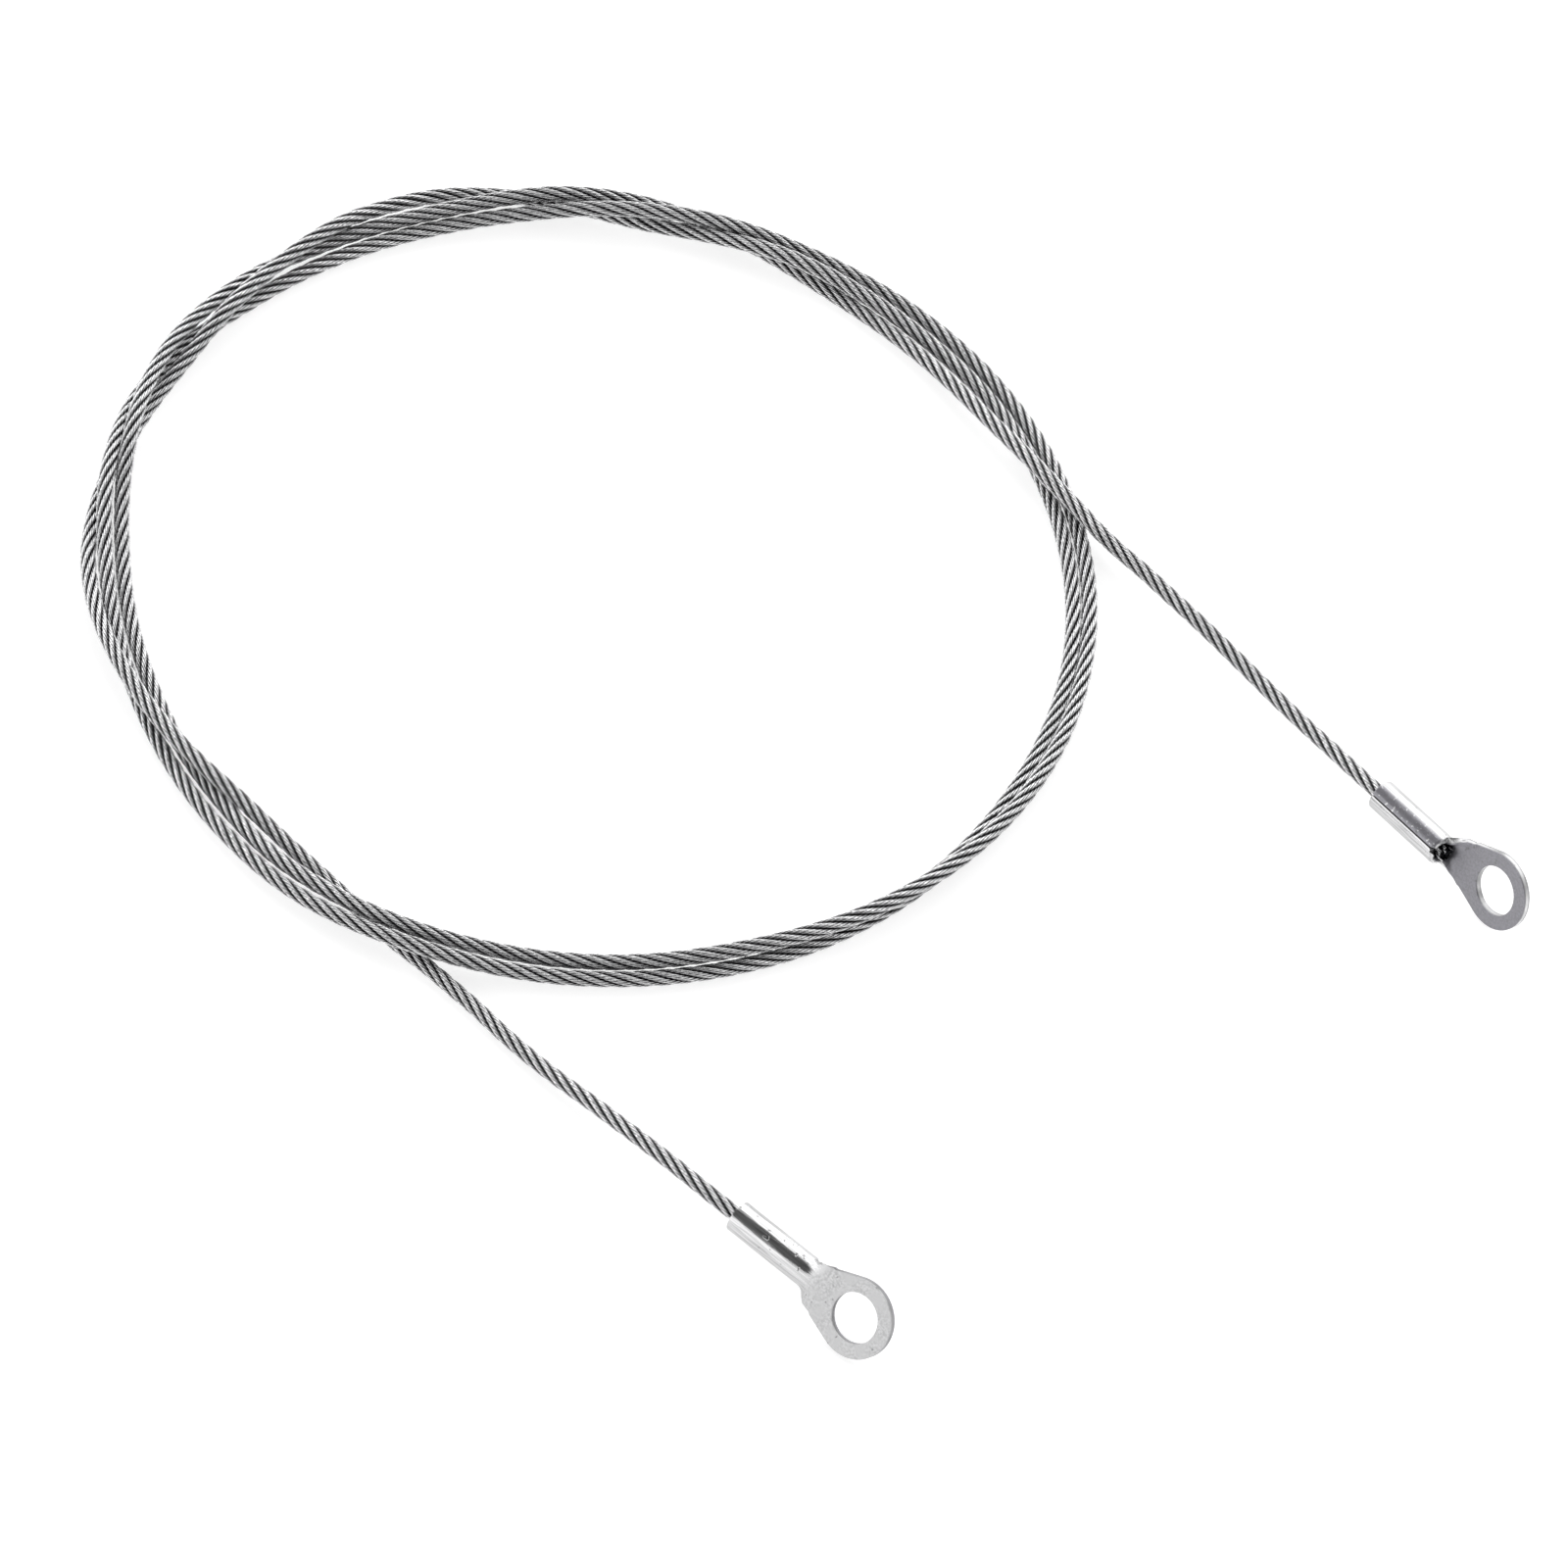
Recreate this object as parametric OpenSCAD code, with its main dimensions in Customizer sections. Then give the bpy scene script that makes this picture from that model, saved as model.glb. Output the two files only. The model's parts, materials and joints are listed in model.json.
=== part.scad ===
// Wire rope lanyard, laid down as a loose coil of nearly three turns, with a crimped ring eye on each
// end. The rope is six strands laid right-handed round a core strand. Each eye is one piece of formed sheet: a
// tube crimped on the rope's end, and a flat palm with a round hole.
// The origin is on the surface that the lanyard lies on, midway between the two eyes. +Z is up.

/* [Rope] */
// Diameter over the strands
rope_d = 2.1; // [1.8:0.05:2.2]
// Length in which a strand goes once round the rope
rope_lay = 15.6; // [12:0.2:20]

/* [Eye] */
// Diameter of the hole, a clearance hole for an M6 bolt
hole_d = 6.4; // [5.3:0.1:6.6]
// Diameter of the ring round the hole
ring_d = 10.1; // [9.6:0.1:12]
// Thickness of the sheet
sheet = 0.9; // [0.7:0.05:1]
// Outer diameter of the crimped barrel
barrel_d = 4.1; // [4.1:0.05:4.6]
// Length of the barrel
barrel_l = 11.2; // [9:0.2:12]
// Distance from the barrel's mouth to the centre of the hole
reach = 20.2; // [20:0.1:24]
// Width of the palm where it leaves the barrel
neck_w = 4.6; // [4:0.1:5]

/* [Coil] */
// Longer half-width of the oval that the turns follow
coil_a = 65.4; // [60:0.2:68]
// Shorter half-width of that oval
coil_b = 58.3; // [54:0.2:60]
// Direction of the longer axis, anticlockwise from +X
coil_turn = -31; // [-33:1:-29]
// Width of the bundle of turns
bundle_w = 6.4; // [5:0.2:7]

/* [Hidden] */

// How far a cutting shape runs past what it cuts
spare = 1;
rope_r = rope_d / 2;
coil_at = [-66.9, 73.5];

// How each eye lies: where its barrel's mouth is, the way it points, how far its nose is up, and its roll
front_at = [-48, -22];
front_way = -42;
front_pitch = -2;
front_roll = 230;
rear_at = [31.9, 39.4];
rear_way = -51.5;
rear_pitch = 5;
rear_roll = 66;

// The barrel's wall is the sheet, closed round the rope with a seam along the top
bore_d = barrel_d - 2 * sheet;
seam_w = 0.12;
palm_drop = (barrel_d - sheet) / 2;
ring_r = ring_d / 2;
// The barrel's end is cut back on a slant, and its floor runs on into the palm
trough_l = 2.2;
trough_rise = 0.7;
cut_turn = 38;
// The palm's corners at the barrel are cut off, and its edge starts inside the barrel's floor
corner = 0.6;
lap = 0.01;

// An eye rests on the rim of its ring: the height of its mouth when it does
function mouth_z(pitch, roll) =
    let (up = cos(roll) * cos(pitch))
    ring_r * sqrt(1 - up * up) + sheet / 2 * abs(up) - reach * sin(pitch) + palm_drop * up;

// Where each rope leg runs, from the barrel's mouth to the side of the coil
front_z = mouth_z(front_pitch, front_roll);
rear_z = mouth_z(rear_pitch, rear_roll);
front_leg = [
    [-48, -22, front_z], [-51.7, -18.6, 3.9], [-55.4, -15, 3.7], [-59, -11.5, 3.3],
    [-62.6, -8, 2.7], [-66.2, -4.5, 2.1], [-69.8, -1.2, 1.6], [-73.4, 2.3, 1.2],
    [-77, 6, rope_r], [-80.4, 9.7, rope_r], [-83.5, 12.8, rope_r], [-86.5, 15.8, rope_r]];
rear_leg = [
    [31.9, 39.4, rear_z], [28.7, 43.4, 3.2], [25.5, 47.4, 2.8], [22.3, 51.3, 2.5],
    [19.1, 55.2, 2.4], [15.9, 59.1, 2.5], [12.7, 62.9, 2.7], [9.5, 66.6, 2.9],
    [6.3, 70.3, 2.9], [3.1, 74, 2.9], [0, 77.3, 2.9], [-2.6, 80.3, 2.9]];

// The bundle of turns: two ropes high, with most of its width inside the oval
bundle_h = rope_d * 1.9;
bundle_out = 2;
bundle_steps = 60;
corner_steps = 3;

// A strand stub inside the barrel
strand_r = rope_r / 3;
strand_play = 0.02;
stub_l = barrel_l + 1.4;
stub_steps = 10;
tube_sides = 8;

function unit(v) = v / norm(v);

// Points of one ring of a tube, at p, square to the direction t
function tube_ring(p, t, r) =
    let (side = unit(cross(t, [0, 0, 1])), up = cross(side, t))
    [for (i = [0 : tube_sides - 1])
        let (a = 360 / tube_sides * (i + 0.5))
        p + r * (cos(a) * side + sin(a) * up)];

// Direction of a route at its point i
function heading(route, i) =
    unit(route[min(i + 1, len(route) - 1)] - route[max(i - 1, 0)]);

// Faces that join rings of n points, with both ends closed
function tube_faces(rings, n) = concat(
    [[for (i = [n - 1 : -1 : 0]) i]],
    [for (k = [0 : rings - 2], i = [0 : n - 1])
        [k * n + i, k * n + (i + 1) % n, (k + 1) * n + (i + 1) % n, (k + 1) * n + i]],
    [[for (i = [0 : n - 1]) (rings - 1) * n + i]]);

// A rope leg: a tube along a route, cut off at its end by the coil's wall
module leg(route) {
    last = len(route) - 1;
    out = wall_out(route[last]);
    way = heading(route, last);
    cut = [for (p = tube_ring(route[last], way, rope_r))
        p + way * ((wall_reach(route[last]) - [p[0], p[1]] * out) / ([way[0], way[1]] * out))];
    rings = [for (i = [0 : last - 1]) tube_ring(route[i], heading(route, i), rope_r)];
    points = [for (ring = concat(rings, [cut])) each ring];
    polyhedron(points, tube_faces(len(route), tube_sides));
}

// A strand stub: round the rope's axis at radius off, from angle start
function stub_route(off, start) =
    [for (i = [0 : stub_steps])
        let (x = stub_l * i / stub_steps, a = start + 360 * x / rope_lay)
        [x, off * cos(a), off * sin(a)]];

// A tube whose rings are square to the rope, so that the cut ends are flat
module stub(off, start) {
    route = stub_route(off, start);
    r = strand_r - strand_play;
    points = [for (p = route, i = [0 : tube_sides - 1])
        let (a = 360 / tube_sides * (i + 0.5))
        p + [0, -r * cos(a), r * sin(a)]];
    polyhedron(points, tube_faces(len(route), tube_sides));
}

// Puts a piece drawn on an eye's own axes where that eye lies
module lay_eye(at, z, way, pitch, roll) {
    translate([at[0], at[1], z]) rotate([0, 0, way]) rotate([0, -pitch, 0]) rotate([roll, 0, 0])
        children();
}

module at_front() {
    lay_eye(front_at, front_z, front_way, front_pitch, front_roll) children();
}

module at_rear() {
    lay_eye(rear_at, rear_z, rear_way, rear_pitch, rear_roll) children();
}

// Outline of the palm: straight sides from the neck, tangent to the ring
module palm_outline() {
    start = barrel_l + corner;
    run = reach - start;
    half = neck_w / 2;
    lean = asin(ring_r / norm([run, half])) - atan2(half, run);
    tangent = [reach - ring_r * sin(lean), ring_r * cos(lean)];
    side = [[barrel_l - lap, half - corner], [start, half], tangent];
    difference() {
        union() {
            translate([reach, 0]) circle(r = ring_r, $fn = 72);
            polygon(concat(side, [for (i = [2 : -1 : 0]) [side[i][0], -side[i][1]]]));
        }
        translate([reach, 0]) circle(d = hole_d, $fn = 64);
    }
}

// The barrel, open along its seam, with its end cut back on a slant
module barrel() {
    whole_l = barrel_l + trough_l;
    cut_l = trough_l + spare;
    difference() {
        rotate([0, 90, 0]) cylinder(d = barrel_d, h = whole_l, $fn = 48);
        translate([-spare, 0, 0]) rotate([0, 90, 0])
            cylinder(d = bore_d, h = whole_l + 2 * spare, $fn = 48);
        translate([-spare, -seam_w / 2, 0]) cube([whole_l + 2 * spare, seam_w, barrel_d]);
        translate([barrel_l, barrel_d, 0]) rotate([90, 0, 0]) linear_extrude(2 * barrel_d)
            polygon([[0, barrel_d], [0, trough_rise],
                [cut_l, trough_rise - cut_l * tan(cut_turn)], [cut_l, barrel_d]]);
    }
}

// One eye on its own axes: the barrel along +X from its mouth, and the palm's seam side up
module eye() {
    barrel();
    translate([0, 0, -palm_drop - sheet / 2]) linear_extrude(sheet) palm_outline();
}

// Place and outward direction on the coil's oval at angle a
function oval_point(a) =
    let (c = cos(coil_turn), s = sin(coil_turn), x = coil_a * cos(a), y = coil_b * sin(a))
    coil_at + [c * x - s * y, s * x + c * y];
function oval_out(a) =
    let (c = cos(coil_turn), s = sin(coil_turn), n = unit([cos(a) / coil_a, sin(a) / coil_b]))
    [c * n[0] - s * n[1], s * n[0] + c * n[1]];

// The coil's outer wall near a point: its outward direction, and how far out it is along that
function oval_angle(p) =
    let (c = cos(coil_turn), s = sin(coil_turn), x = p[0] - coil_at[0], y = p[1] - coil_at[1])
    atan2((c * y - s * x) / coil_b, (c * x + s * y) / coil_a);
function wall_out(p) = oval_out(oval_angle(p));
function wall_reach(p) = oval_point(oval_angle(p)) * wall_out(p) + bundle_out;

// The bundle's section: a rectangle with corners as round as the rope, as [outward, up]
bundle_section = [for (k = [0 : 3], i = [0 : corner_steps])
    let (a = 90 * (k + i / corner_steps),
        x = (k == 0 || k == 3 ? 1 : -1) * (bundle_w / 2 - rope_r),
        y = (k < 2 ? 1 : -1) * (bundle_h / 2 - rope_r))
    [bundle_out - bundle_w / 2 + x + rope_r * cos(a), bundle_h / 2 + y + rope_r * sin(a)]];

// The solid that the turns fill
module coil_solid() {
    n = len(bundle_section);
    points = [for (k = [0 : bundle_steps - 1], p = bundle_section)
        let (a = 360 * k / bundle_steps, flat = oval_point(a) + p[0] * oval_out(a))
        [flat[0], flat[1], p[1]]];
    faces = [for (k = [0 : bundle_steps - 1], i = [0 : n - 1])
        let (next = (k + 1) % bundle_steps, j = (i + 1) % n)
        [k * n + j, next * n + j, next * n + i, k * n + i]];
    polyhedron(points, faces);
}

module front_eye() {
    color("silver") at_front() eye();
}

module rear_eye() {
    color("silver") at_rear() eye();
}

module front_rope_leg() {
    color("lightgray") leg(front_leg);
}

module rope_coil() {
    color("lightgray") coil_solid();
}

module rear_rope_leg() {
    color("lightgray") leg(rear_leg);
}

module core_strand() {
    color("gray") stub(0, 0);
}

module outer_strand(number) {
    color("gray") stub(rope_r - strand_r, 60 * (number - 1));
}

front_eye();
rear_eye();
front_rope_leg();
rope_coil();
rear_rope_leg();
at_front() core_strand();  // front_core_strand
at_front() outer_strand(1);  // front_strand_1
at_front() outer_strand(2);  // front_strand_2
at_front() outer_strand(3);  // front_strand_3
at_front() outer_strand(4);  // front_strand_4
at_front() outer_strand(5);  // front_strand_5
at_front() outer_strand(6);  // front_strand_6
at_rear() core_strand();  // rear_core_strand
at_rear() outer_strand(1);  // rear_strand_1
at_rear() outer_strand(2);  // rear_strand_2
at_rear() outer_strand(3);  // rear_strand_3
at_rear() outer_strand(4);  // rear_strand_4
at_rear() outer_strand(5);  // rear_strand_5
at_rear() outer_strand(6);  // rear_strand_6
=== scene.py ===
"""Wire rope lanyard, laid down as a loose coil, with a crimped ring eye on each end.

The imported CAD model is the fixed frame. Its plain rope and eyes are replaced here by a rope of seven laid
strands of seven wires each, and by two eyes bent up from sheet. The script is laid out as an add-on.
"""

import json
import math

import bmesh
import bpy
from bpy.props import FloatProperty, FloatVectorProperty, IntProperty, PointerProperty
from bpy.types import Operator, Panel, PropertyGroup
from mathutils import Matrix, Vector


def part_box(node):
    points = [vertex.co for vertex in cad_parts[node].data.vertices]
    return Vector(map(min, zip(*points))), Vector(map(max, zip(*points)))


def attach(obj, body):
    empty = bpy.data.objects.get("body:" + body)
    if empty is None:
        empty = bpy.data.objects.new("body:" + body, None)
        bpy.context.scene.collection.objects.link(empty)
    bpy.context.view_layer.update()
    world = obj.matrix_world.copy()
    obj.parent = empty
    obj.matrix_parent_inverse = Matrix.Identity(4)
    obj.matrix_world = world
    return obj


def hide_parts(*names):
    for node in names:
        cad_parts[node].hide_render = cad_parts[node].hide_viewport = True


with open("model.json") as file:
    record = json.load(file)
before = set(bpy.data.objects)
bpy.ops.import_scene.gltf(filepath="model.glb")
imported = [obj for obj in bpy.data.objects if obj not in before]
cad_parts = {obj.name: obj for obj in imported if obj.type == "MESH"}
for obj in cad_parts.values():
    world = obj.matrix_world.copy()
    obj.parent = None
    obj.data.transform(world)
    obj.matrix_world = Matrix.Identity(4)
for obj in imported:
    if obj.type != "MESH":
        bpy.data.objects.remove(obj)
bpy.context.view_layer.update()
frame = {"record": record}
HOLES = {mount["name"]: mount for mount in frame["record"]["mounts"]}

bl_info = {
    "name": "Wire Rope Lanyard",
    "version": (1, 0, 0),
    "blender": (4, 5, 0),
    "location": "3D View > Sidebar > Lanyard",
    "description": "Builds a coiled wire rope with a crimped ring eye on each end",
    "category": "Object",
}

MM = 0.001
TAU = 2 * math.pi

# The oval that the turns of the coil follow, as the CAD has it: half-widths and centre in mm, turn in degrees
COIL_A = 65.4
COIL_B = 58.3
COIL_TURN = -31
COIL_AT = (-66.9, 73.5)

# How the rope weaves along the oval, clockwise from the front leg to the rear leg. Each way-mark gives the
# place round the oval in degrees, the lane outward of the oval in mm, and the height in rope diameters.
WEAVE = (
    (281, 2.4, 0.0), (270, -1.8, 0.1), (262, -3.6, 0.2), (253, -4.2, 0.6), (247, -3.6, 1.0),
    (236, -2.2, 1.1), (225, -0.8, 1.0), (217, 0.0, 0.6), (209, 0.2, 0.3), (199, -0.6, 0.1),
    (189, -1.9, 0.2), (177, -2.7, 0.6), (169, -2.2, 1.1), (158, -0.6, 1.1), (149, 1.1, 1.1),
    (143, 2.1, 0.6), (136, 2.4, 0.3), (125, 0.7, 0.1), (113, -2.0, 0.2), (105, -2.5, 0.6),
    (94, -2.3, 1.1), (84, -1.9, 0.7), (73, -1.6, 0.2), (61, -1.4, 0.0), (28, -2.6, 0.0),
    (-3, -3.4, 0.0), (-39, -1.5, 0.0), (-67, 0.1, 0.2), (-80, 1.3, 1.0), (-95, 1.3, 0.5),
    (-107, 0.2, 0.2), (-127, -1.6, 0.1), (-140, -2.1, 0.4), (-151, -1.9, 0.8), (-162, -1.0, 1.2),
    (-174, -0.3, 0.6), (-187, -1.1, 0.1), (-196, -2.0, 0.0), (-219, -2.4, 0.1), (-233, -2.4, 0.6),
    (-246, -1.8, 1.3), (-257, -0.8, 1.2), (-267, 0.1, 0.5), (-287, 0.8, 0.0), (-315, 0.2, 0.0),
    (-340, -0.9, 0.1), (-367, -1.7, 0.7), (-390, -2.2, 1.0), (-403, -2.7, 0.8), (-419, -2.6, 0.3),
    (-431, -2.0, 0.4), (-443, -0.9, 1.0), (-459, -1.2, 0.6), (-470, -2.5, 0.2), (-481, -3.4, 0.1),
    (-492, -4.1, 0.0), (-510, -4.1, 0.3), (-519, -3.4, 0.8), (-530, -2.1, 1.6), (-543, -0.2, 1.2),
    (-551, 0.6, 0.6), (-559, 0.7, 0.3), (-567, 0.2, 0.2), (-583, -0.6, 0.7), (-598, 0.2, 1.1),
    (-607, 0.7, 0.5), (-615, -0.2, 0.2), (-631, -3.0, 0.0), (-645, -3.9, 0.2), (-659, -3.9, 0.7),
    (-668, -2.4, 1.0), (-674, -0.5, 1.0), (-680, 2.1, 1.0),
)
WEAVE_STEP = 4  # degrees between the points of a turn
PACKING = 0.97  # how much of a diameter a rope that crosses another rises, as laid strands bed in
ROUTE_CUTS = 6  # stretches of the smooth line between two points of the route

# The free legs in mm, from an eye's mouth to the coil, with points that the CAD has as well
FRONT_LEG = (
    (-51.7, -18.6, 3.9), (-55.4, -15, 3.7), (-59, -11.5, 3.3), (-62.6, -8, 2.7), (-66.2, -4.5, 2.1),
    (-69.8, -1.2, 1.6), (-73.4, 2.3, 1.2), (-77, 6, 1.05), (-80.4, 9.7, 1.05), (-83.5, 12.8, 1.05),
)
REAR_LEG = (
    (28.7, 43.4, 3.2), (25.5, 47.4, 2.8), (22.3, 51.3, 2.5), (19.1, 55.2, 2.4), (15.9, 59.1, 2.5),
    (12.7, 62.9, 2.7), (9.5, 66.6, 2.9), (6.3, 70.3, 2.9), (3.1, 74, 2.9), (0, 77.3, 2.9),
)

# Where the rope's line passes inside a barrel, in mm from the mouth, from the cut end out
ROPE_IN_BARREL = (12.6, 9, 6, 3, 0)

# How each eye lies: the way its barrel points, how far its nose is up, and its roll, in degrees
EYE_LIE = {"front": (-42, -2, 230), "rear": (-51.5, 5, 66)}

LAID_ROUND = 6  # strands laid round the core strand, and wires laid round a strand's centre wire
STRANDS_ACROSS = 3  # strands side by side in the rope's diameter
WIRES_ACROSS = 9  # wires side by side in it
WIRE_FIT = 0.52  # a wire's radius for its spacing, so that the wires of a strand touch

LOOK_AT = (-42.43, 43.53, 0)  # the point of the floor that the camera looks at, in mm

# Dark openings of the light tent: the way to each, and the angles from it where the dark ends and the full
# white starts
OPENINGS = (
    ((-0.29, -0.02, 0.96), 27, 39),
    ((0.1, -0.6, 0.79), 24, 36),
    ((0.98, -0.1, 0.2), 22, 40),
)

# How fine the patterns of the materials are, in features for each metre
WIRE_STREAKS = 2600
WIRE_PATCHES = 900
TIN_MOTTLE = 3300
TIN_PATCHES = 420
TIN_LINES = 4200
TIN_PITS = 1300
TIN_SPECKS = 2300
TIN_GRAIN = 5200
TIN_WAVES = 420
SHEAR_STREAKS = 240
FLOOR_CLOUDS = 3

LINE_STRETCH = (0.05, 1, 1)  # draws the tin's lines out along the barrel
CAVITY_SHADE = (0.02, 0.02, 0.022)  # colour of the painted shade in an eye's cavity


def held(value):
    """Value, held between 0 and 1."""
    return min(max(value, 0), 1)


# ---------------------------------------------------------------- settings


class RopeSettings(PropertyGroup):
    diameter: FloatProperty(
        name="Diameter", description="Across the six outer strands", default=2.1 * MM,
        min=1.8 * MM, max=2.2 * MM, unit="LENGTH", precision=5)
    strand_lay: FloatProperty(
        name="Strand lay", description="Length in which a strand goes once round the rope",
        default=15.6 * MM, min=12 * MM, max=20 * MM, unit="LENGTH", precision=5)
    wire_lay: FloatProperty(
        name="Wire lay", description="Length in which a wire goes once round its strand, the other way",
        default=5.3 * MM, min=4 * MM, max=9 * MM, unit="LENGTH", precision=5)
    ring_step: FloatProperty(
        name="Ring step", description="Distance between the rings of a wire's mesh",
        default=0.55 * MM, min=0.4 * MM, max=1 * MM, unit="LENGTH", precision=5)
    wire_sides: IntProperty(
        name="Wire sides", description="Sides of a wire's section", default=6, min=5, max=8)
    end_scatter: FloatProperty(
        name="End scatter", description="How unevenly the wires are cut off at the rope's ends",
        default=0.7 * MM, min=0, max=1.2 * MM, unit="LENGTH", precision=5)
    steel: FloatVectorProperty(
        name="Steel", description="Colour of the drawn steel wire", default=(0.92, 0.92, 0.93),
        size=3, min=0, max=1, subtype="COLOR")
    # Painted shade: the near-black colour that the wires get where they lie deep between the strands
    crevice_shade: FloatVectorProperty(
        name="Crevice", description="Colour between the strands", default=(0.012, 0.012, 0.014),
        size=3, min=0, max=1, subtype="COLOR")


class EyeSettings(PropertyGroup):
    hole_r: FloatProperty(
        name="Hole radius", description="Half of the hole's diameter",
        default=HOLES["front_hole"]["dims"]["r_mm"] * MM, min=2.6 * MM, max=3.3 * MM,
        unit="LENGTH", precision=5)
    sheet: FloatProperty(
        name="Sheet", description="Thickness of the sheet",
        default=HOLES["front_hole"]["dims"]["length_mm"] * MM, min=0.7 * MM, max=1 * MM,
        unit="LENGTH", precision=5)
    ring_r: FloatProperty(
        name="Ring radius", description="Half of the ring's diameter", default=5.05 * MM,
        min=4.8 * MM, max=6 * MM, unit="LENGTH", precision=5)
    barrel_r: FloatProperty(
        name="Barrel radius", description="Half of the barrel's outer diameter", default=2.05 * MM,
        min=2.05 * MM, max=2.3 * MM, unit="LENGTH", precision=5)
    reach: FloatProperty(
        name="Reach", description="Distance from the barrel's mouth to the hole's centre",
        default=20.2 * MM, min=20 * MM, max=24 * MM, unit="LENGTH", precision=5)
    rim: FloatProperty(
        name="Rim", description="Radius of the sheet's tumbled edges", default=0.14 * MM,
        min=0.05 * MM, max=0.25 * MM, unit="LENGTH", precision=5)
    polished: FloatVectorProperty(
        name="Polished", description="Colour of the plating that the crimping dies rubbed bright",
        default=(0.64, 0.64, 0.645), size=3, min=0, max=1, subtype="COLOR")
    satin: FloatVectorProperty(
        name="Satin", description="Colour of the plating on the palm",
        default=(0.53, 0.53, 0.535), size=3, min=0, max=1, subtype="COLOR")
    sheared: FloatVectorProperty(
        name="Sheared", description="Colour of the sheet's cut edges", default=(0.78, 0.78, 0.785),
        size=3, min=0, max=1, subtype="COLOR")
    # Painted shade: the front eye's cut edges get this darker colour, the rear eye's the sheared colour
    painted_edge_shade: FloatVectorProperty(
        name="Painted edge shade", description="Colour of the front eye's darker cut edges",
        default=(0.3, 0.3, 0.305), size=3, min=0, max=1, subtype="COLOR")
    dull: FloatVectorProperty(
        name="Dull", description="Colour of the plating on the face that was rolled inward",
        default=(0.27, 0.266, 0.29), size=3, min=0, max=1, subtype="COLOR")


class StageSettings(PropertyGroup):
    floor: FloatVectorProperty(
        name="Floor", description="Colour of the floor", default=(0.5, 0.5, 0.5),
        size=3, min=0, max=1, subtype="COLOR")
    glow: FloatProperty(
        name="Glow", description="How brightly the floor is lit from below", default=0.72, min=0, max=4)
    tent: FloatProperty(
        name="Tent", description="Brightness of the white light tent", default=1.5, min=0, max=4)
    gap: FloatProperty(
        name="Gap", description="Brightness of the tent's openings", default=0.12, min=0, max=4)
    elevation: FloatProperty(
        name="Camera elevation", description="Height of the camera above the horizon",
        default=math.radians(56), min=0, max=math.radians(90), subtype="ANGLE")
    distance: FloatProperty(
        name="Camera distance", description="From the camera to the point that it looks at",
        default=1.18, min=0.3, max=4, unit="LENGTH")
    lens: FloatProperty(
        name="Lens", description="Focal length in mm on a 36 mm sensor", default=216.76,
        min=50, max=400)


# ---------------------------------------------------------------- the rope's route


def weave_slope(i):
    """Change of lane and of height for each degree, at way-mark i."""
    before = WEAVE[max(i - 1, 0)]
    after = WEAVE[min(i + 1, len(WEAVE) - 1)]
    span = after[0] - before[0]
    return (after[1] - before[1]) / span, (after[2] - before[2]) / span


def weave_at(i, share):
    """Lane and height at a share of the way from way-mark i to the next, as a smooth cubic."""
    span = WEAVE[i + 1][0] - WEAVE[i][0]
    slopes = weave_slope(i), weave_slope(i + 1)
    s2, s3 = share ** 2, share ** 3
    found = []
    for k in (0, 1):
        here, there = WEAVE[i][k + 1], WEAVE[i + 1][k + 1]
        found.append(
            (2 * s3 - 3 * s2 + 1) * here + (s3 - 2 * s2 + share) * span * slopes[0][k]
            + (3 * s2 - 2 * s3) * there + (s3 - s2) * span * slopes[1][k])
    return found


def coil_point(degrees, lane, height, rope_d):
    """A point of the coil in mm: beside the oval by lane, and up by height rope diameters."""
    a = math.radians(degrees)
    on_oval = Vector((COIL_A * math.cos(a), COIL_B * math.sin(a)))
    outward = Vector((math.cos(a) / COIL_A, math.sin(a) / COIL_B)).normalized()
    x, y = Matrix.Rotation(math.radians(COIL_TURN), 2) @ (on_oval + lane * outward)
    return Vector((COIL_AT[0] + x, COIL_AT[1] + y, rope_d * (0.5 + PACKING * max(height, 0))))


def coil_points(rope_d):
    """The turns of the coil, in mm, from the front leg to the rear leg."""
    points = []
    for i in range(len(WEAVE) - 1):
        span = WEAVE[i + 1][0] - WEAVE[i][0]
        count = max(1, round(abs(span) / WEAVE_STEP))
        for k in range(count):
            lane, height = weave_at(i, k / count)
            points.append(coil_point(WEAVE[i][0] + span * k / count, lane, height, rope_d))
    points.append(coil_point(*WEAVE[-1], rope_d))
    return points


def smooth_line(points, cuts):
    """A Catmull-Rom curve through the points, with cuts stretches between two of them."""
    ends = [2 * points[0] - points[1], *points, 2 * points[-1] - points[-2]]
    line = []
    for p0, p1, p2, p3 in zip(ends, ends[1:], ends[2:], ends[3:]):
        for k in range(cuts):
            u = k / cuts
            line.append(0.5 * (2 * p1 + (p2 - p0) * u + (2 * p0 - 5 * p1 + 4 * p2 - p3) * u * u
                               + (3 * p1 - p0 - 3 * p2 + p3) * u ** 3))
    line.append(points[-1])
    return line


def eye_place(side, eye):
    """Matrix from an eye's own axes, +X along the barrel from its mouth, to its place, in metres."""
    way, pitch, roll = (math.radians(a) for a in EYE_LIE[side])
    turn = Matrix.Rotation(way, 4, "Z") @ Matrix.Rotation(-pitch, 4, "Y") @ Matrix.Rotation(roll, 4, "X")
    palm_drop = eye.barrel_r - eye.sheet / 2
    hole = Vector(HOLES[side + "_hole"]["pos_m"])
    mouth = hole - turn.to_3x3() @ Vector((eye.reach, 0, -palm_drop))
    return Matrix.Translation(mouth) @ turn


def rope_route(rope, eye):
    """The rope's centre line from one cut end to the other, as close points in metres."""
    inside = [Vector((x * MM, 0, 0)) for x in ROPE_IN_BARREL]
    front, rear = eye_place("front", eye), eye_place("rear", eye)
    head = [front @ p for p in inside]
    tail = [rear @ p for p in reversed(inside)]
    middle = [Vector(p) * MM for p in FRONT_LEG]
    middle += [p * MM for p in coil_points(rope.diameter / MM)]
    middle += [Vector(p) * MM for p in reversed(REAR_LEG)]
    return smooth_line(head + middle + tail, ROUTE_CUTS)


# ---------------------------------------------------------------- node helpers


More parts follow.
